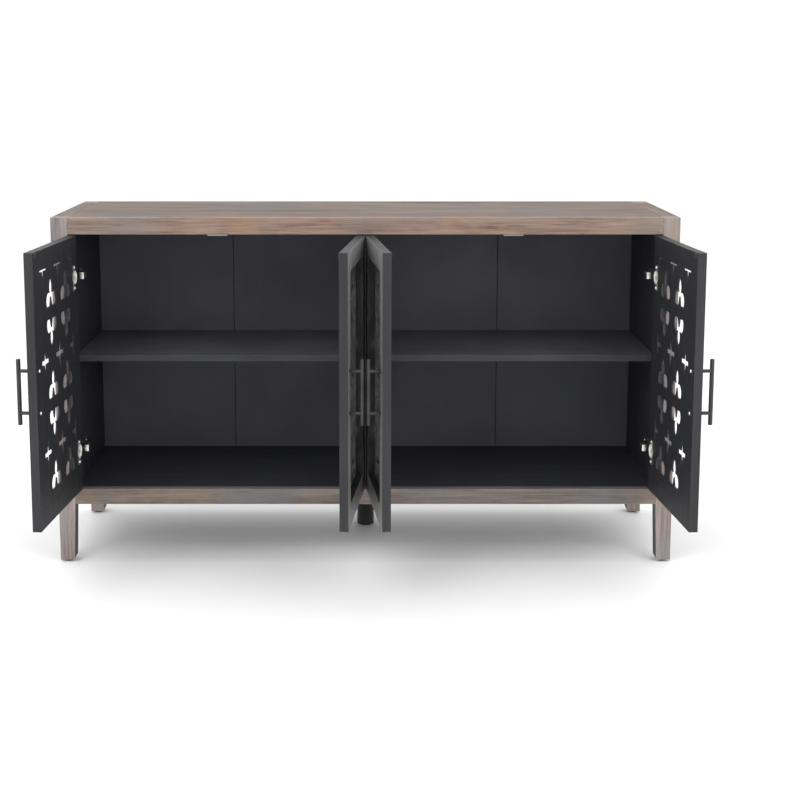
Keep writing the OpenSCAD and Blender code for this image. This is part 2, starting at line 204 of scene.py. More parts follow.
def addBump(tree, shader, height, strength, distance):
    bump = addNode(tree, "ShaderNodeBump")
    bump.inputs["Strength"].default_value = strength
    bump.inputs["Distance"].default_value = distance
    join(tree, height, bump.inputs["Height"])
    join(tree, bump.outputs[0], shader.inputs["Normal"])


axisOrder = {"x": ("X", "Y", "Z"), "y": ("Y", "X", "Z"), "z": ("Z", "X", "Y")}


# Object coordinates with the grain's own axis moved to X.
def alongGrain(tree, coordinates, axis, offset):
    split = addNode(tree, "ShaderNodeSeparateXYZ")
    merge = addNode(tree, "ShaderNodeCombineXYZ")
    join(tree, coordinates, split.inputs[0])
    for target, source in zip("XYZ", axisOrder[axis]):
        join(tree, split.outputs[source], merge.inputs[target])
    mapping = addNode(tree, "ShaderNodeMapping")
    mapping.inputs["Location"].default_value = offset
    join(tree, merge.outputs[0], mapping.inputs["Vector"])
    return mapping.outputs[0]


weatheredColours = dict(
    dark=(0.110, 0.086, 0.072), base=(0.375, 0.300, 0.250), light=(0.560, 0.500, 0.450),
    ochre=(0.430, 0.310, 0.215), rose=(0.440, 0.325, 0.290), grey=(0.300, 0.290, 0.290), pore=(0.085, 0.066, 0.056),
)


# Greyed, unfinished wood with rose, ochre and grey streaks. tint scales a board's red, green and blue.
def weatheredWood(axis, offset, tint):
    c = {key: tuple(v * t for v, t in zip(colour, tint)) for key, colour in weatheredColours.items()}
    material, tree, shader, coordinates = startMaterial(f"weathered_{axis}_{offset[0]:g}")
    shader.inputs["Specular IOR Level"].default_value = 0.25
    grain = placeGroup(tree, grainGroup, Scale=1.0)
    join(tree, alongGrain(tree, coordinates, axis, offset), grain.inputs["Vector"])
    fineMask = remap(tree, grain.outputs["Fine"], 0.36, 0.64)
    colour = mixColour(tree, fineMask, c["dark"], c["base"])
    colour = mixColour(tree, arithmetic(tree, "MULTIPLY", grain.outputs["Streak"], 0.62), colour, c["light"])
    colour = mixColour(tree, arithmetic(tree, "MULTIPLY", grain.outputs["Patch"], 0.45), colour, c["rose"])
    ochreMask = remap(tree, noiseBand(tree, coordinates, (9, 9, 9), 3, 0.5), 0.52, 0.68, 0.0, 0.65)
    colour = mixColour(tree, ochreMask, colour, c["ochre"])
    greyMask = remap(tree, noiseBand(tree, coordinates, (5, 5, 5), 3, 0.5), 0.48, 0.66, 0.0, 0.75)
    colour = mixColour(tree, greyMask, colour, c["grey"])
    colour = mixColour(tree, arithmetic(tree, "MULTIPLY", grain.outputs["Pore"], 0.55), colour, c["pore"])
    wear = placeGroup(tree, wearAndHighlightGroup, Amount=0.7)
    join(tree, coordinates, wear.inputs["Vector"])
    colour = mixColour(tree, wear.outputs["Mask"], colour, c["light"])
    join(tree, colour, shader.inputs["Base Color"])
    join(tree, remap(tree, grain.outputs["Fine"], 0.3, 0.7, 0.84, 0.62), shader.inputs["Roughness"])
    addBump(tree, shader, grain.outputs["Height"], 0.45, 0.0009)
    return material


# A dark coat over close-grained board: the grain shows through by grainShare, and bevelled edges turn lighter, as
# rubbed wear, and on the outer door faces as a painted edge highlight.
def stainedBoard(name, axis, dark, light, bevelColour, roughness, grainShare=0.55, spread=0.14):
    material, tree, shader, coordinates = startMaterial(name)
    shader.inputs["Specular IOR Level"].default_value = 0.35
    grain = placeGroup(tree, grainGroup, Scale=0.8)
    join(tree, alongGrain(tree, coordinates, axis, (0.3, 0.7, 0.2)), grain.inputs["Vector"])
    mottle = placeGroup(tree, mottleGroup)
    mottle.inputs["Cloud Scale"].default_value = 4.0
    join(tree, coordinates, mottle.inputs["Vector"])
    blend = arithmetic(tree, "ADD", arithmetic(tree, "MULTIPLY", grain.outputs["Fine"], grainShare),
                       arithmetic(tree, "MULTIPLY", mottle.outputs["Cloud"], 1.0 - grainShare))
    colour = mixColour(tree, remap(tree, blend, 0.5 - spread, 0.5 + spread), dark, light)
    wear = placeGroup(tree, wearAndHighlightGroup, Amount=0.55)
    join(tree, coordinates, wear.inputs["Vector"])
    colour = mixColour(tree, wear.outputs["Mask"], colour, bevelColour)
    join(tree, colour, shader.inputs["Base Color"])
    join(tree, remap(tree, blend, 0.3, 0.7, roughness + 0.08, roughness - 0.08), shader.inputs["Roughness"])
    addBump(tree, shader, grain.outputs["Height"], 0.25, 0.0005)
    return material


# Plated, powder-coated or moulded surfaces.
def mottled(name, dark, light, roughness, bumpDistance=0.0001, cloudScale=14.0, fineScale=1100.0, bevelColour=None,
            **shaderValues):
    material, tree, shader, coordinates = startMaterial(name, **shaderValues)
    mottle = placeGroup(tree, mottleGroup)
    mottle.inputs["Cloud Scale"].default_value = cloudScale
    mottle.inputs["Fine Scale"].default_value = fineScale
    join(tree, coordinates, mottle.inputs["Vector"])
    colour = mixColour(tree, remap(tree, mottle.outputs["Cloud"], 0.35, 0.65), dark, light)
    if bevelColour is not None:
        wear = placeGroup(tree, wearAndHighlightGroup, Amount=0.6)
        join(tree, coordinates, wear.inputs["Vector"])
        colour = mixColour(tree, wear.outputs["Mask"], colour, bevelColour)
    join(tree, colour, shader.inputs["Base Color"])
    join(tree, remap(tree, mottle.outputs["Fine"], 0.3, 0.7, roughness - 0.06, roughness + 0.08),
         shader.inputs["Roughness"])
    addBump(tree, shader, mottle.outputs["Fine"], 0.3, bumpDistance)
    return material


charcoal = stainedBoard("charcoal_case", "x", (0.024, 0.025, 0.032), (0.040, 0.041, 0.050), (0.13, 0.13, 0.13), 0.55)
charcoalUpright = stainedBoard("charcoal_upright", "z", (0.023, 0.024, 0.032), (0.036, 0.037, 0.047),
                               (0.13, 0.13, 0.13), 0.55)
doorInside = stainedBoard("door_inside", "z", (0.016, 0.0165, 0.019), (0.027, 0.028, 0.032), (0.10, 0.10, 0.10), 0.5)
backBoard = stainedBoard("charcoal_back", "z", (0.078, 0.079, 0.096), (0.096, 0.097, 0.116), (0.13, 0.13, 0.13), 0.6,
                         grainShare=0.2)
flatBoard = stainedBoard("charcoal_flat", "x", (0.074, 0.074, 0.088), (0.110, 0.110, 0.128), (0.16, 0.16, 0.17), 0.45,
                         grainShare=0.4)
# Outer door faces: the same dark door paint, lightened to pale grey as a painted sheen; the pale edge colour paints an
# edge highlight along the bevels.
doorOutsideWithSheen = stainedBoard("door_outside", "z", (0.100, 0.099, 0.098), (0.270, 0.264, 0.258), (0.62, 0.61, 0.59), 0.5,
                           grainShare=0.75, spread=0.13)
doorEdge = stainedBoard("door_edge", "z", (0.015, 0.015, 0.017), (0.025, 0.025, 0.028), (0.14, 0.14, 0.14), 0.5)
nickel = mottled("nickel_plate", (0.60, 0.58, 0.55), (0.78, 0.77, 0.74), 0.26, 0.00003, 40.0, 1600.0, Metallic=1.0)
blackMetal = mottled("black_coat", (0.012, 0.012, 0.013), (0.026, 0.026, 0.028), 0.42, 0.00006, 20.0, 1500.0,
                     (0.10, 0.10, 0.10))
rubber = mottled("foot_rubber", (0.010, 0.010, 0.010), (0.022, 0.022, 0.022), 0.75, 0.0001)
catchPlastic = mottled("catch_plastic", (0.34, 0.39, 0.34), (0.42, 0.46, 0.42), 0.5, 0.00006)
strikeSteel = mottled("strike_steel", (0.030, 0.030, 0.032), (0.050, 0.050, 0.052), 0.45, 0.00005, 30.0, 1300.0)
magnetSteel = mottled("magnet_steel", (0.22, 0.22, 0.22), (0.34, 0.34, 0.34), 0.35, 0.00005, 30.0, 1300.0, Metallic=1.0)
print("stage: materials made,", len(bpy.data.materials))


# A merged, editable copy of a CAD node's mesh, with its flat faces whole again.
def workMesh(name):
    mesh = bmesh.new()
    mesh.from_mesh(nodes[name].data)
    bmesh.ops.remove_doubles(mesh, verts=mesh.verts, dist=1e-6)
    bmesh.ops.dissolve_limit(mesh, angle_limit=math.radians(0.5), verts=mesh.verts, edges=mesh.edges)
    return mesh


# Rounds the sharp edges, and marks the new faces for rubbed wear and, on the outer door faces, a painted edge
# highlight.
def softenEdges(mesh, width, segments):
    wear = mesh.faces.layers.float.new("wear")
    sharp = [e for e in mesh.edges if len(e.link_faces) == 2 and e.calc_face_angle(0.0) > math.radians(40)]
    made = bmesh.ops.bevel(mesh, geom=sharp, offset=width, offset_type="OFFSET", segments=segments, profile=0.5,
                           affect="EDGES", clamp_overlap=True)
    for face in made["faces"]:
        face[wear] = 1.0


# Turns a bmesh into a piece that rides on a body.
def finishPiece(mesh, name, body, materials, replaced=(), smooth=False):
    for face in mesh.faces:
        face.smooth = smooth
    if smooth:
        for edge in mesh.edges:
            edge.smooth = not (len(edge.link_faces) == 2 and edge.calc_face_angle(0.0) > math.radians(28))
    data = bpy.data.meshes.new(name)
    mesh.to_mesh(data)
    mesh.free()
    return placePiece(data, name, body, materials, replaced)


def placePiece(data, name, body, materials, replaced=()):
    piece = bpy.data.objects.new(name, data)
    scene.collection.objects.link(piece)
    while len(data.materials) < len(materials):
        data.materials.append(None)
    for index, material in enumerate(materials):
        data.materials[index] = material
    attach(piece, body)
    if replaced:
        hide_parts(*replaced)
    return piece


caseSettings = dict(boardEdge=0.9 * mm, panelEdge=0.6 * mm, bevelSegments=2)

weatheredBoards = {          # node: grain axis, pattern offset, tint, the way to the inside of the case
    "front_left_post": ("z", (0.0, 0.31, 0.11), (0.75, 0.77, 0.83), (1, 0, 0)),
    "front_right_post": ("z", (1.7, 0.83, 0.45), (0.75, 0.77, 0.83), (-1, 0, 0)),
    "rear_left_post": ("z", (2.9, 0.12, 0.73), (0.75, 0.77, 0.83), (1, 0, 0)),
    "rear_right_post": ("z", (4.1, 0.57, 0.21), (0.75, 0.77, 0.83), (-1, 0, 0)),
    "top_panel": ("x", (0.6, 0.0, 0.9), (0.46, 0.447, 0.45), (0, 0, -1)),
    "top_front_rail": ("x", (5.2, 0.37, 0.05), (0.70, 0.61, 0.56), (0, 1, 0)),
    "top_rear_rail": ("x", (6.3, 0.77, 0.35), (0.46, 0.447, 0.45), (0, -1, 0)),
    "top_left_rail": ("y", (7.7, 0.15, 0.66), (0.46, 0.447, 0.45), (1, 0, 0)),
    "top_right_rail": ("y", (8.8, 0.91, 0.27), (0.46, 0.447, 0.45), (-1, 0, 0)),
    "bottom_front_rail": ("x", (9.4, 0.49, 0.81), (0.52, 0.53, 0.55), (0, 1, 0)),
    "bottom_rear_rail": ("x", (10.5, 0.22, 0.54), (0.52, 0.53, 0.55), (0, -1, 0)),
    "bottom_left_rail": ("y", (11.1, 0.64, 0.19), (0.52, 0.53, 0.55), (1, 0, 0)),
    "bottom_right_rail": ("y", (12.3, 0.05, 0.38), (0.52, 0.53, 0.55), (-1, 0, 0)),
}
for nodeName, (axis, offset, tint, inward) in weatheredBoards.items():
    board = workMesh(nodeName)
    softenEdges(board, caseSettings["boardEdge"], caseSettings["bevelSegments"])
    for face in board.faces:
        face.material_index = 1 if face.normal.dot(Vector(inward)) > 0.9 else 0
    finishPiece(board, nodeName + "_wood", "cabinet",
                [weatheredWood(axis, offset, tint), charcoal], [nodeName])

caseBoards = {               # node: its material, and that of its front edge
    "centre_partition": (charcoalUpright, charcoalUpright),
    "back_panel_left": (backBoard, backBoard),
    "back_panel_centre": (backBoard, backBoard),
    "back_panel_right": (backBoard, backBoard),
    "back_battens": (backBoard, backBoard),
    "bottom_panel": (charcoal, charcoal),
    "left_shelf": (flatBoard, charcoal),
    "right_shelf": (flatBoard, charcoal),
}
for nodeName, (coat, frontCoat) in caseBoards.items():
    board = workMesh(nodeName)
    softenEdges(board, caseSettings["panelEdge"], caseSettings["bevelSegments"])
    for face in board.faces:
        face.material_index = 1 if face.normal.y < -0.9 else 0
    finishPiece(board, nodeName + "_board", "cabinet", [coat, frontCoat], [nodeName])


# Charcoal inside, weathered outside.
def sidePanel(side):
    nodeName = side + "_side_panel"
    outward = -1 if side == "left" else 1
    board = workMesh(nodeName)
    softenEdges(board, caseSettings["panelEdge"], caseSettings["bevelSegments"])
    for face in board.faces:
        face.material_index = 1 if face.normal.x * outward > 0.5 else 0
    outside = weatheredWood("z", (13.9 + outward, 0.4, 0.6), (0.66, 0.62, 0.60))
    finishPiece(board, nodeName + "_board", "cabinet", [charcoalUpright, outside], [nodeName])


sidePanel("left")
sidePanel("right")
print("stage: case boards made")


# From a shut door's own axes (x to the free edge, y inwards, z up) to its place at rest.
def doorMatrix(name):
    joint = next(j for j in frame["joints"] if j["name"] == name + "_door_hinge")
    hand = joint["axis"][2]
    shutAngle = math.radians(joint["range_deg"][1])
    low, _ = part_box(name + "_stiles")
    x, y, _ = joint["pos_m"]
    return (Matrix.Translation((x, y, low.z)) @ Matrix.Rotation(-hand * shutAngle, 4, "Z")
            @ Matrix.Diagonal((hand, 1, 1, 1)) @ Matrix.Translation((doorSettings["axisOut"], 0, 0)))


doorPlaces = {name: doorMatrix(name) for name in doorNames}


# Slot 0 on faces towards the case, slot 1 on the outer side, slot 2 on the edges.
def paintByFace(mesh, place):
    outward = (place.to_3x3() @ Vector((0, -1, 0))).normalized()
    for face in mesh.faces:
        facing = face.normal.dot(outward)
        face.material_index = 1 if facing > 0.7 else 0 if facing < -0.7 else 2


doorPaint = [doorInside, doorOutsideWithSheen, doorEdge]
for doorName in doorNames:
    for part in ("stiles", "rails"):
        nodeName = f"{doorName}_{part}"
        board = workMesh(nodeName)
        softenEdges(board, doorSettings["frameEdge"], 2)
        paintByFace(board, doorPlaces[doorName])
        finishPiece(board, nodeName + "_board", doorName + "_door", doorPaint, [nodeName])
print("stage: door frames made")


fretSettings = dict(
    thickness=3 * mm, rebate=5.8 * mm, pitch=58 * mm, period=212 * mm, firstX=50 * mm, firstFromTop=45 * mm,
    stile=50 * mm, topRail=46 * mm, barLength=60 * mm, barHeight=11 * mm, uprightWidth=14 * mm,
    uprightHeight=66 * mm, trefoilWidth=76 * mm, lobeRadius=19.5 * mm, lobeTop=6 * mm, drop=26.5 * mm,
    rise=38 * mm, petalWidth=25 * mm, petalRoot=6 * mm, spurWidth=17 * mm, spurBelow=4 * mm,
    neckFromMirror=41 * mm, arcSteps=14,
)


# Two arcs that meet in a point above and below.
def ovalOutline(width, height, centreZ, steps):
    radius = (height * height + width * width) / (4 * width)
    half = math.asin(height / 2 / radius)
    angles = [half * (2 * i / steps - 1) for i in range(steps + 1)]
    right = [(radius * math.cos(a) - radius + width / 2, centreZ + radius * math.sin(a)) for a in angles]
    return right + [(-x, z) for x, z in reversed(right[1:-1])]


# Keeps the part of a convex outline on one side of a line.
def clipOutline(outline, point, inward):
    kept = []
    for (x0, z0), (x1, z1) in zip(outline, outline[1:] + outline[:1]):
        d0 = (x0 - point[0]) * inward[0] + (z0 - point[1]) * inward[1]
        d1 = (x1 - point[0]) * inward[0] + (z1 - point[1]) * inward[1]
        if d0 >= 0:
            kept.append((x0, z0))
        if d0 * d1 < 0:
            t = d0 / (d0 - d1)
            kept.append((x0 + (x1 - x0) * t, z0 + (z1 - z0) * t))
    return kept


# The right-hand lobe: a disc cut by the flat edge, the spur's flank and the middle line.
def lobeOutline(s):
    x = s["trefoilWidth"] / 2 - s["lobeRadius"]
    z = s["lobeTop"] - s["lobeRadius"]
    steps = s["arcSteps"] * 3
    disc = [(x + s["lobeRadius"] * math.cos(2 * math.pi * i / steps),
             z + s["lobeRadius"] * math.sin(2 * math.pi * i / steps)) for i in range(steps)]
    disc = clipOutline(disc, (0, -s["drop"]), (0, 1))
    flank = Vector((s["drop"] + mm - s["spurBelow"], s["spurWidth"] / 2)).normalized()
    disc = clipOutline(disc, (0, -s["spurBelow"]), flank)
    return clipOutline(disc, (0, 0), (1, 0))


# Closed prisms through the panel, drawn in X and Z about y = 0.
def cutter(name, outlines, depth):
    mesh = bmesh.new()
    for outline in outlines:
        front = [mesh.verts.new((x, -depth, z)) for x, z in outline]
        back = [mesh.verts.new((x, depth, z)) for x, z in outline]
        mesh.faces.new(front)
        mesh.faces.new(list(reversed(back)))
        for i in range(len(front)):
            j = (i + 1) % len(front)
            mesh.faces.new((front[j], front[i], back[i], back[j]))
    bmesh.ops.recalc_face_normals(mesh, faces=mesh.faces)
    data = bpy.data.meshes.new(name)
    mesh.to_mesh(data)
    mesh.free()
    return bpy.data.objects.new(name, data)


def treeInput(tree, label, kind, value=None):
    socket = tree.interface.new_socket(label, in_out="INPUT", socket_type=kind)
    if value is not None:
        socket.default_value = value
    return socket.identifier


# Cuts every cutter, placed at each point of the pattern, out of one board.
def fretTree():
    tree = bpy.data.node_groups.new("fretBoard", "GeometryNodeTree")
    ids = {"Geometry": treeInput(tree, "Geometry", "NodeSocketGeometry")}
    for label in ("Board Size", "Board Centre", "Window Size", "Window Centre"):
        ids[label] = treeInput(tree, label, "NodeSocketVector")
    for label in ("Bar", "Upright", "Petal", "Lobes"):
        ids[label] = treeInput(tree, label, "NodeSocketObject")
    ids["Material"] = treeInput(tree, "Material", "NodeSocketMaterial")
    tree.interface.new_socket("Geometry", in_out="OUTPUT", socket_type="NodeSocketGeometry")
    groupIn, groupOut = addNode(tree, "NodeGroupInput"), addNode(tree, "NodeGroupOutput")

    def block(size, centre):
        cube = addNode(tree, "GeometryNodeMeshCube")
        moved = addNode(tree, "GeometryNodeTransform")
        join(tree, groupIn.outputs[size], cube.inputs["Size"])
        join(tree, cube.outputs["Mesh"], moved.inputs["Geometry"])
        join(tree, groupIn.outputs[centre], moved.inputs["Translation"])
        return moved.outputs[0]

    window = block("Window Size", "Window Centre")
    kind = addNode(tree, "GeometryNodeInputNamedAttribute", data_type="INT")
    kind.inputs["Name"].default_value = "kind"
    cut = addNode(tree, "GeometryNodeMeshBoolean", operation="DIFFERENCE", solver="EXACT")
    join(tree, block("Board Size", "Board Centre"), cut.inputs["Mesh 1"])
    for label, trefoil in (("Bar", False), ("Upright", False), ("Petal", True), ("Lobes", True)):
        shape = addNode(tree, "GeometryNodeObjectInfo")
        join(tree, groupIn.outputs[label], shape.inputs["Object"])
        here = addNode(tree, "FunctionNodeCompare", data_type="INT",
                       operation="NOT_EQUAL" if trefoil else "EQUAL")
        join(tree, kind.outputs["Attribute"], here.inputs[2])
        flipped = addNode(tree, "FunctionNodeCompare", data_type="INT", operation="EQUAL")
        flipped.inputs[3].default_value = 2
        join(tree, kind.outputs["Attribute"], flipped.inputs[2])
        turn = addNode(tree, "GeometryNodeSwitch", input_type="VECTOR")
        turn.inputs["True"].default_value = (0.0, math.pi, 0.0)
        join(tree, flipped.outputs[0], turn.inputs["Switch"])
        spread = addNode(tree, "GeometryNodeInstanceOnPoints")
        join(tree, groupIn.outputs["Geometry"], spread.inputs["Points"])
        join(tree, here.outputs[0], spread.inputs["Selection"])
        join(tree, shape.outputs["Geometry"], spread.inputs["Instance"])
        join(tree, turn.outputs[0], spread.inputs["Rotation"])
        real = addNode(tree, "GeometryNodeRealizeInstances")
        join(tree, spread.outputs[0], real.inputs[0])
        within = addNode(tree, "GeometryNodeMeshBoolean", operation="INTERSECT", solver="EXACT")
        join(tree, real.outputs[0], within.inputs["Mesh 2"])
        join(tree, window, within.inputs["Mesh 2"])
        join(tree, within.outputs["Mesh"], cut.inputs["Mesh 2"])
    joined = addNode(tree, "GeometryNodeRealizeInstances")
    join(tree, cut.outputs["Mesh"], joined.inputs[0])
    finish = addNode(tree, "GeometryNodeSetMaterial")
    join(tree, joined.outputs[0], finish.inputs["Geometry"])
    join(tree, groupIn.outputs["Material"], finish.inputs["Material"])
    join(tree, finish.outputs[0], groupOut.inputs[0])
    return tree, ids


# The plain mesh that a piece's modifiers give.
def evaluated(piece):
    bpy.context.view_layer.update()
    return bpy.data.meshes.new_from_object(piece.evaluated_get(bpy.context.evaluated_depsgraph_get()))


# One fretwork panel in a shut door's own axes.
def makeFret():
    s = fretSettings
    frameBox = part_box("left_outer_stiles")
    doorHeight = frameBox[1].z - frameBox[0].z
    corners = [doorPlaces["left_outer"].inverted() @ v.co for v in nodes["left_outer_stiles"].data.vertices]
    doorWidth = max(c.x for c in corners) - min(c.x for c in corners)
    doorThickness = max(c.y for c in corners) - min(c.y for c in corners)
    windowLow = Vector((s["stile"], doorThickness - s["thickness"], s["stile"]))
    windowHigh = Vector((doorWidth - s["stile"], doorThickness, doorHeight - s["topRail"]))
    points, kinds = [], []
    columns = int((windowHigh.x - s["firstX"]) / s["pitch"])
    rows = int((doorHeight - s["firstFromTop"]) / s["period"])
    neck = s["period"] / 2 - s["neckFromMirror"]
    for column in range(columns + 1):
        for row in range(rows + 1):
            x = s["firstX"] + column * s["pitch"]
            top = doorHeight - s["firstFromTop"] - row * s["period"]
            if column % 2 == 0:
                points += [(x, doorThickness, top)]
                kinds += [0]
            else:
                points += [(x, doorThickness, top - neck), (x, doorThickness, top + neck - s["period"])]
                kinds += [1, 2]
    data = bpy.data.meshes.new("fret_points")
    data.from_pydata(points, [], [])
    data.attributes.new("kind", "INT", "POINT").data.foreach_set("value", kinds)
    base = bpy.data.objects.new("fret_points", data)
    scene.collection.objects.link(base)
    depth = 2 * s["thickness"]
    petalHeight = s["rise"] + s["petalRoot"]
    lobe = lobeOutline(s)
    half = (s["barLength"] / 2, s["barHeight"] / 2)
    bar = [(-half[0], -half[1]), (half[0], -half[1]), (half[0], half[1]), (-half[0], half[1])]
    shapes = {
        "Bar": cutter("fret_bar", [bar], depth),
        "Upright": cutter("fret_upright", [ovalOutline(s["uprightWidth"], s["uprightHeight"], 0, s["arcSteps"])],
                          depth),
        "Petal": cutter("fret_petal", [ovalOutline(s["petalWidth"], petalHeight, s["rise"] - petalHeight / 2,
                                                   s["arcSteps"])], depth),
        "Lobes": cutter("fret_lobes", [lobe, [(-x, z) for x, z in reversed(lobe)]], depth),
    }
    tree, ids = fretTree()
    modifier = base.modifiers.new("fret", "NODES")
    modifier.node_group = tree
    margin = Vector((s["rebate"], 0, s["rebate"]))
    modifier[ids["Board Size"]] = windowHigh - windowLow + 2 * margin
    modifier[ids["Board Centre"]] = (windowHigh + windowLow) / 2
    modifier[ids["Window Size"]] = windowHigh - windowLow + Vector((0, 8 * s["thickness"], 0))
    modifier[ids["Window Centre"]] = (windowHigh + windowLow) / 2
    for label, shape in shapes.items():
        modifier[ids[label]] = shape
    modifier[ids["Material"]] = doorInside
    mesh = evaluated(base)
    base.modifiers.clear()
    bpy.data.objects.remove(base)
    for shape in shapes.values():
        bpy.data.objects.remove(shape)
    return mesh


fretMesh = makeFret()
for doorName in doorNames:
    place = doorPlaces[doorName]
    panel = bmesh.new()
    panel.from_mesh(fretMesh)
    bmesh.ops.remove_doubles(panel, verts=panel.verts, dist=1e-6)
    bmesh.ops.transform(panel, matrix=place, verts=panel.verts)
    if place.determinant() < 0:
        bmesh.ops.reverse_faces(panel, faces=panel.faces)
    softenEdges(panel, doorSettings["fretEdge"], 1)
    paintByFace(panel, place)
    finishPiece(panel, doorName + "_fret_board", doorName + "_door", doorPaint, [doorName + "_fret"])
print("stage: fretwork made,", len(fretMesh.polygons), "faces a panel")


metalSettings = dict(edge=0.35 * mm, segments=2)


def metalPiece(nodeName, body, material, edge=None):
    mesh = workMesh(nodeName)
    softenEdges(mesh, edge or metalSettings["edge"], metalSettings["segments"])
    return finishPiece(mesh, nodeName + "_metal", body, [material], [nodeName], smooth=True)


for doorName in doorNames:
    body = doorName + "_door"
    metalPiece(doorName + "_handle", body, blackMetal, 0.8 * mm)
    metalPiece(doorName + "_hinge_cups", body, nickel)
    metalPiece(doorName + "_strike", body, strikeSteel)
metalPiece("hinge_arms", "cabinet", nickel, 0.6 * mm)
metalPiece("hinge_plates", "cabinet", nickel)
metalPiece("centre_foot", "cabinet", blackMetal, 0.8 * mm)
metalPiece("foot_pads", "cabinet", rubber, 0.8 * mm)
metalPiece("left_catch", "cabinet", catchPlastic, 0.8 * mm)
metalPiece("right_catch", "cabinet", catchPlastic, 0.8 * mm)


screwSettings = dict(headDiameter=8.4 * mm, headHeight=2.0 * mm, slotWidth=1.1 * mm, slotLength=4.6 * mm,
                     slotDepth=1.2 * mm, seed=7)


# A domed head with a cross recess at each point, turned to the point's aim and spun at random.
def screwTree():
    tree = bpy.data.node_groups.new("screwHeads", "GeometryNodeTree")
    ids = {"Geometry": treeInput(tree, "Geometry", "NodeSocketGeometry")}
    for label, key in (("Head Diameter", "headDiameter"), ("Head Height", "headHeight"),
                       ("Slot Width", "slotWidth"), ("Slot Length", "slotLength"), ("Slot Depth", "slotDepth")):
        ids[label] = treeInput(tree, label, "NodeSocketFloat", screwSettings[key])
    ids["Seed"] = treeInput(tree, "Seed", "NodeSocketInt", screwSettings["seed"])
    ids["Material"] = treeInput(tree, "Material", "NodeSocketMaterial")
    tree.interface.new_socket("Geometry", in_out="OUTPUT", socket_type="NodeSocketGeometry")
    groupIn, groupOut = addNode(tree, "NodeGroupInput"), addNode(tree, "NodeGroupOutput")

    def number(operation, first, second):
        return arithmetic(tree, operation, first, second)

    radius = number("DIVIDE", groupIn.outputs["Head Diameter"], 2.0)
    head = addNode(tree, "GeometryNodeMeshCone")
    head.inputs["Vertices"].default_value = 28
    join(tree, radius, head.inputs["Radius Bottom"])
    join(tree, number("MULTIPLY", radius, 0.72), head.inputs["Radius Top"])
    join(tree, groupIn.outputs["Head Height"], head.inputs["Depth"])
    slots = []
    for lengthways in (True, False):
        size = addNode(tree, "ShaderNodeCombineXYZ")
        pair = ("Slot Length", "Slot Width") if lengthways else ("Slot Width", "Slot Length")
        for axis, label in zip("XY", pair):
            join(tree, groupIn.outputs[label], size.inputs[axis])
        join(tree, number("MULTIPLY", groupIn.outputs["Slot Depth"], 2.0), size.inputs["Z"])
        cube = addNode(tree, "GeometryNodeMeshCube")
        join(tree, size.outputs[0], cube.inputs["Size"])
        lift = addNode(tree, "ShaderNodeCombineXYZ")
        join(tree, groupIn.outputs["Head Height"], lift.inputs["Z"])
        moved = addNode(tree, "GeometryNodeTransform")
        join(tree, cube.outputs["Mesh"], moved.inputs["Geometry"])
        join(tree, lift.outputs[0], moved.inputs["Translation"])
        slots.append(moved.outputs[0])
    cut = addNode(tree, "GeometryNodeMeshBoolean", operation="DIFFERENCE", solver="EXACT")
    join(tree, head.outputs["Mesh"], cut.inputs["Mesh 1"])
    for slotSocket in slots:
        join(tree, slotSocket, cut.inputs["Mesh 2"])
    aim = addNode(tree, "GeometryNodeInputNamedAttribute", data_type="FLOAT_VECTOR")
    aim.inputs["Name"].default_value = "aim"
    align = addNode(tree, "FunctionNodeAlignRotationToVector", axis="Z")
    join(tree, aim.outputs["Attribute"], align.inputs["Vector"])
    spin = addNode(tree, "FunctionNodeRandomValue", data_type="FLOAT")
    spin.inputs[3].default_value = math.pi / 2
    join(tree, groupIn.outputs["Seed"], spin.inputs["Seed"])
    turned = addNode(tree, "ShaderNodeCombineXYZ")
    join(tree, spin.outputs[1], turned.inputs["Z"])
    spread = addNode(tree, "GeometryNodeInstanceOnPoints")
    join(tree, groupIn.outputs["Geometry"], spread.inputs["Points"])
    join(tree, cut.outputs["Mesh"], spread.inputs["Instance"])
    join(tree, align.outputs[0], spread.inputs["Rotation"])
    rotate = addNode(tree, "GeometryNodeRotateInstances")
    join(tree, spread.outputs[0], rotate.inputs["Instances"])
    join(tree, turned.outputs[0], rotate.inputs["Rotation"])
    real = addNode(tree, "GeometryNodeRealizeInstances")
    join(tree, rotate.outputs[0], real.inputs[0])
    finish = addNode(tree, "GeometryNodeSetMaterial")
    join(tree, real.outputs[0], finish.inputs["Geometry"])
    join(tree, groupIn.outputs["Material"], finish.inputs["Material"])
    join(tree, finish.outputs[0], groupOut.inputs[0])
    return tree, ids


screwNodes, screwIds = screwTree()


# places: (where a head's underside sits, which way it faces).
def screws(name, body, places, replaced=()):
    data = bpy.data.meshes.new(name + "_points")
    data.from_pydata([tuple(where) for where, _ in places], [], [])
    aims = [component for _, aim in places for component in aim]
    data.attributes.new("aim", "FLOAT_VECTOR", "POINT").data.foreach_set("vector", aims)
    base = bpy.data.objects.new(name + "_points", data)
    scene.collection.objects.link(base)
    modifier = base.modifiers.new("screws", "NODES")
    modifier.node_group = screwNodes
    modifier[screwIds["Material"]] = nickel
    mesh = evaluated(base)
    base.modifiers.clear()
    bpy.data.objects.remove(base)
    return placePiece(mesh, name, body, [nickel], replaced)


doorScrewSettings = dict(cupX=25.75 * mm, flange=1.0 * mm, cupScrew=25 * mm, handleX=331.75 * mm, handlePost=48 * mm)


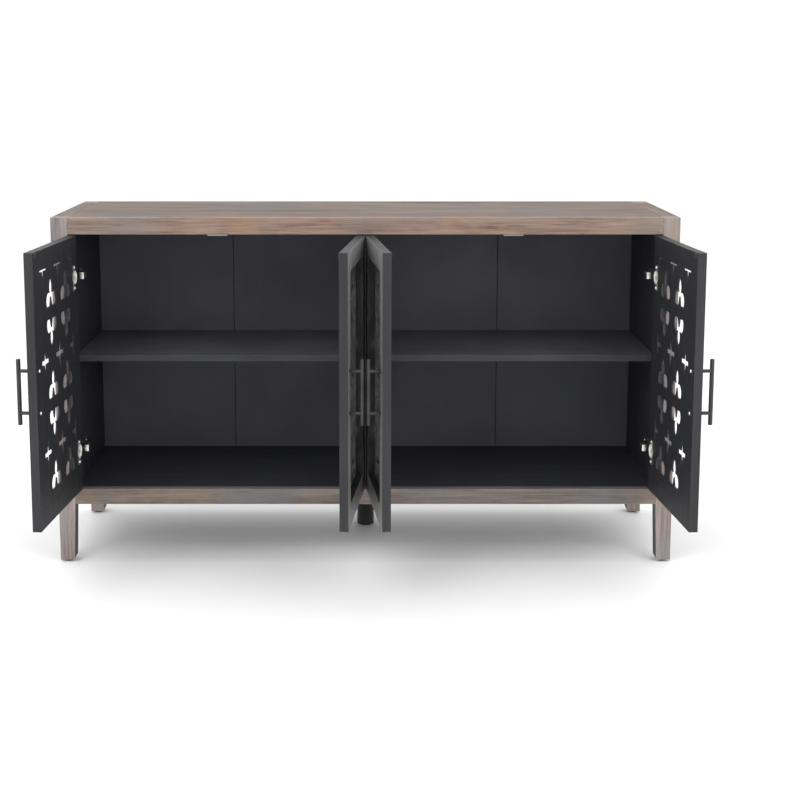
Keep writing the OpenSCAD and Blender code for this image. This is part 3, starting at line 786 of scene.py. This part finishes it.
# Two heads on each cup flange and one behind each handle post.
def doorScrews(name):
    s = doorScrewSettings
    thickness, hingeEnd = doorSettings["thickness"], doorSettings["hingeEnd"]
    place = doorPlaces[name]
    inward = (place.to_3x3() @ Vector((0, 1, 0))).normalized()
    low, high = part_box(name + "_stiles")
    height = high.z - low.z
    flange = [place @ Vector((s["cupX"], thickness + s["flange"], z + dz))
              for z in (hingeEnd, height - hingeEnd) for dz in (-s["cupScrew"], s["cupScrew"])]
    screws(name + "_cup_screws", name + "_door", [(where, inward) for where in flange])
    grip = [place @ Vector((s["handleX"], thickness, height / 2 + dz))
            for dz in (-s["handlePost"], s["handlePost"])]
    screws(name + "_handle_screw_heads", name + "_door", [(where, inward) for where in grip],
           [name + "_handle_screws"])


for doorName in doorNames:
    doorScrews(doorName)


plateScrewSettings = dict(screwUp=18 * mm, plate=4 * mm, plateY=70 * mm)
backScrewSettings = dict(battenWidth=40 * mm, rows=5, sunk=0.95 * mm)


# Two heads on each mounting plate, on the side panels and on both faces of the partition.
def plateScrews():
    s = plateScrewSettings
    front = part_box("top_front_rail")[0].y
    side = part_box("left_side_panel")[1].x
    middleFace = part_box("centre_partition")[0].x
    low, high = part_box("left_outer_stiles")
    hingeEnd = doorSettings["hingeEnd"]
    places = []
    for z in (low.z + hingeEnd, high.z - hingeEnd):
        for dz in (-s["screwUp"], s["screwUp"]):
            for face, way in ((side, 1), (middleFace, -1), (-middleFace, 1), (-side, -1)):
                places.append(((face + way * s["plate"], front + s["plateY"], z + dz), (way, 0, 0)))
    screws("hinge_plate_screws", "cabinet", places)


# Heads down the middle of the back and up both battens.
def backScrews():
    s = backScrewSettings
    panel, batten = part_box("back_panel_centre"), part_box("back_battens")
    low, high = batten[0].z, batten[1].z
    seam = batten[1].x - s["battenWidth"] / 2
    places = []
    for row in range(s["rows"]):
        z = low + (high - low) * (row + 0.5) / s["rows"]
        places.append(((0.0, panel[1].y, z), (0, 1, 0)))
        places += [((x + dx, batten[1].y - s["sunk"], z), (0, 1, 0)) for x in (-seam, seam)
                   for dx in (-s["battenWidth"] / 4, s["battenWidth"] / 4)]
    screws("back_screw_heads", "cabinet", places, ["back_screws"])


plateScrews()
backScrews()
metalPiece("shelf_pins", "cabinet", nickel, 0.5 * mm)

magnetSettings = dict(stripHeight=1.6 * mm, stripProud=0.25 * mm, inset=6 * mm, fromBelow=(3.2 * mm, 8.4 * mm))


# The two steel pole strips on the front of a catch.
def magnetStrips(side):
    s = magnetSettings
    low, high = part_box(side + "_catch")
    mesh = bmesh.new()
    for up in s["fromBelow"]:
        size = Vector((high.x - low.x - 2 * s["inset"], 2 * s["stripProud"], s["stripHeight"]))
        centre = Vector(((low.x + high.x) / 2, low.y, low.z + up))
        bmesh.ops.create_cube(mesh, size=1.0, matrix=Matrix.Translation(centre) @ Matrix.Diagonal((*size, 1)))
    softenEdges(mesh, 0.1 * mm, 1)
    finishPiece(mesh, side + "_magnet_strips", "cabinet", [magnetSteel])


magnetStrips("left")
magnetStrips("right")
print("stage: metalwork made")


stageSettings = dict(floorSize=60.0, floorColour=(0.95, 0.95, 0.95), worldColour=(1.0, 1.0, 1.0), worldStrength=1.08)


lightSettings = {             # light: its place, size and power
    "key": ((-2.2, -3.4, 3.2), (2.4, 2.4), 60),
    "fill": ((2.6, -3.2, 2.2), (2.4, 2.4), 45),
    "top": ((0.0, 0.2, 3.4), (3.0, 2.0), 25),
}
lightTarget = (0.0, 0.0, 0.45)
cameraSettings = dict(lens=66.87, sensorWidth=36.0, shift=(0.0413, -0.13), place=(0.0039, -3.9037, 1.2128),
                      tiltDown=8.59)


def makeStage():
    s = stageSettings
    material, tree, shader, coordinates = startMaterial("floor_paint", Roughness=0.7)
    mottle = placeGroup(tree, mottleGroup)
    mottle.inputs["Cloud Scale"].default_value = 1.5
    join(tree, coordinates, mottle.inputs["Vector"])
    pale = s["floorColour"]
    colour = mixColour(tree, mottle.outputs["Cloud"], tuple(v * 0.99 for v in pale), pale)
    join(tree, colour, shader.inputs["Base Color"])
    half = s["floorSize"] / 2
    data = bpy.data.meshes.new("floor")
    data.from_pydata([(-half, -half, 0), (half, -half, 0), (half, half, 0), (-half, half, 0)], [], [(0, 1, 2, 3)])
    data.materials.append(material)
    floor = bpy.data.objects.new("floor", data)
    scene.collection.objects.link(floor)
    world = bpy.data.worlds.new("studio")
    world.use_nodes = True
    background = world.node_tree.nodes["Background"]
    background.inputs["Color"].default_value = (*s["worldColour"], 1.0)
    background.inputs["Strength"].default_value = s["worldStrength"]
    scene.world = world
    scene.view_settings.view_transform = "Standard"


def areaLight(name, place, target, size, power):
    light = bpy.data.lights.new(name, "AREA")
    light.shape = "RECTANGLE"
    light.size, light.size_y = size
    light.energy = power
    lamp = bpy.data.objects.new(name, light)
    scene.collection.objects.link(lamp)
    lamp.location = place
    lamp.rotation_euler = (Vector(target) - Vector(place)).to_track_quat("-Z", "Y").to_euler()


def makeCamera():
    s = cameraSettings
    camera = bpy.data.cameras.new("camera")
    camera.lens = s["lens"]
    camera.sensor_width = s["sensorWidth"]
    camera.shift_x, camera.shift_y = s["shift"]
    view = bpy.data.objects.new("camera", camera)
    scene.collection.objects.link(view)
    view.location = s["place"]
    view.rotation_euler = (math.radians(90 - s["tiltDown"]), 0.0, 0.0)
    scene.camera = view


makeStage()
for lightName, (lightPlace, lightSize, lightPower) in lightSettings.items():
    areaLight(lightName, lightPlace, lightTarget, lightSize, lightPower)
makeCamera()
print("stage: floor, lights and camera set")
